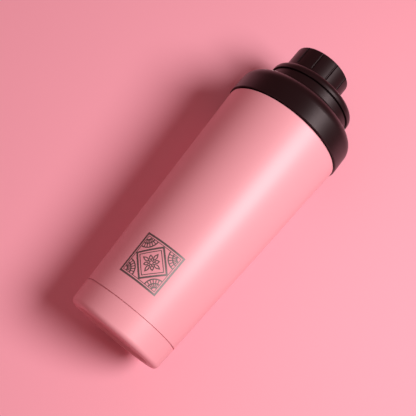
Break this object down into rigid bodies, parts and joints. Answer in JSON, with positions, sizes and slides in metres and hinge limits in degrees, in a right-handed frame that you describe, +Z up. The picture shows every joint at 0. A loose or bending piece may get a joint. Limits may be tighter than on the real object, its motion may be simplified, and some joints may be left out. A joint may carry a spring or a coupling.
{
  "type": "protein shaker bottle",
  "caption": "Double-wall steel shaker bottle with a tapered body, screw-on lid and an off-centre spout closed by a grooved screw cap.",
  "frame": {"origin": "centre of the base, on the surface that the bottle stands on", "axes": "+Z up along the body's axis, from the base to the cap; the spout is offset towards -X"},
  "size_m": [0.094, 0.094, 0.2456],
  "materials": {
    "coated_steel": "fine textured powder coat, pink",
    "bare_steel": "brushed",
    "black_plastic": "satin, moulded",
    "inner_plastic": "moulded",
    "silicone": "translucent grey silicone",
    "getter_metal": "sintered"
  },
  "bodies": {
    "root": {"outer_wall": "coated_steel", "base_cup": "coated_steel", "inner_liner": "bare_steel", "vacuum_plate": "bare_steel", "seal_bead": "bare_steel", "getter": "getter_metal"},
    "ball": {"whisk_ball": "bare_steel"},
    "lid_seal": {"lid_gasket": "silicone"},
    "lid": {"lid_shell": "black_plastic", "lid_liner": "inner_plastic", "strainer": "inner_plastic", "lid_top": "black_plastic"},
    "cap_seal": {"cap_gasket": "silicone"},
    "cap": {"cap_shell": "black_plastic", "cap_liner": "inner_plastic"}
  },
  "joints": [
    {"name": "ball_rise", "type": "slide", "parent": "root", "child": "ball", "axis": [0, 0, 1], "range_m": [0, 0.14]},
    {"name": "lid_rise", "type": "slide", "parent": "root", "child": "lid_seal", "axis": [0, 0, 1], "range_m": [0, 0.012]},
    {"name": "lid_turn", "type": "hinge", "parent": "lid_seal", "child": "lid", "pos_m": [0, 0, 0.2027], "axis": [0, 0, 1], "range_deg": [0, 540]},
    {"name": "cap_rise", "type": "slide", "parent": "lid", "child": "cap_seal", "axis": [0, 0, 1], "range_m": [0, 0.0096]},
    {"name": "cap_turn", "type": "hinge", "parent": "cap_seal", "child": "cap", "pos_m": [-0.0068, 0, 0.2416], "axis": [0, 0, 1], "range_deg": [0, 576]}
  ],
  "couplings": [
    {"joint": "lid_rise", "follows": "lid_turn", "m_per_rad": 0.0012732},
    {"joint": "cap_rise", "follows": "cap_turn", "m_per_rad": 0.00095493}
  ]
}
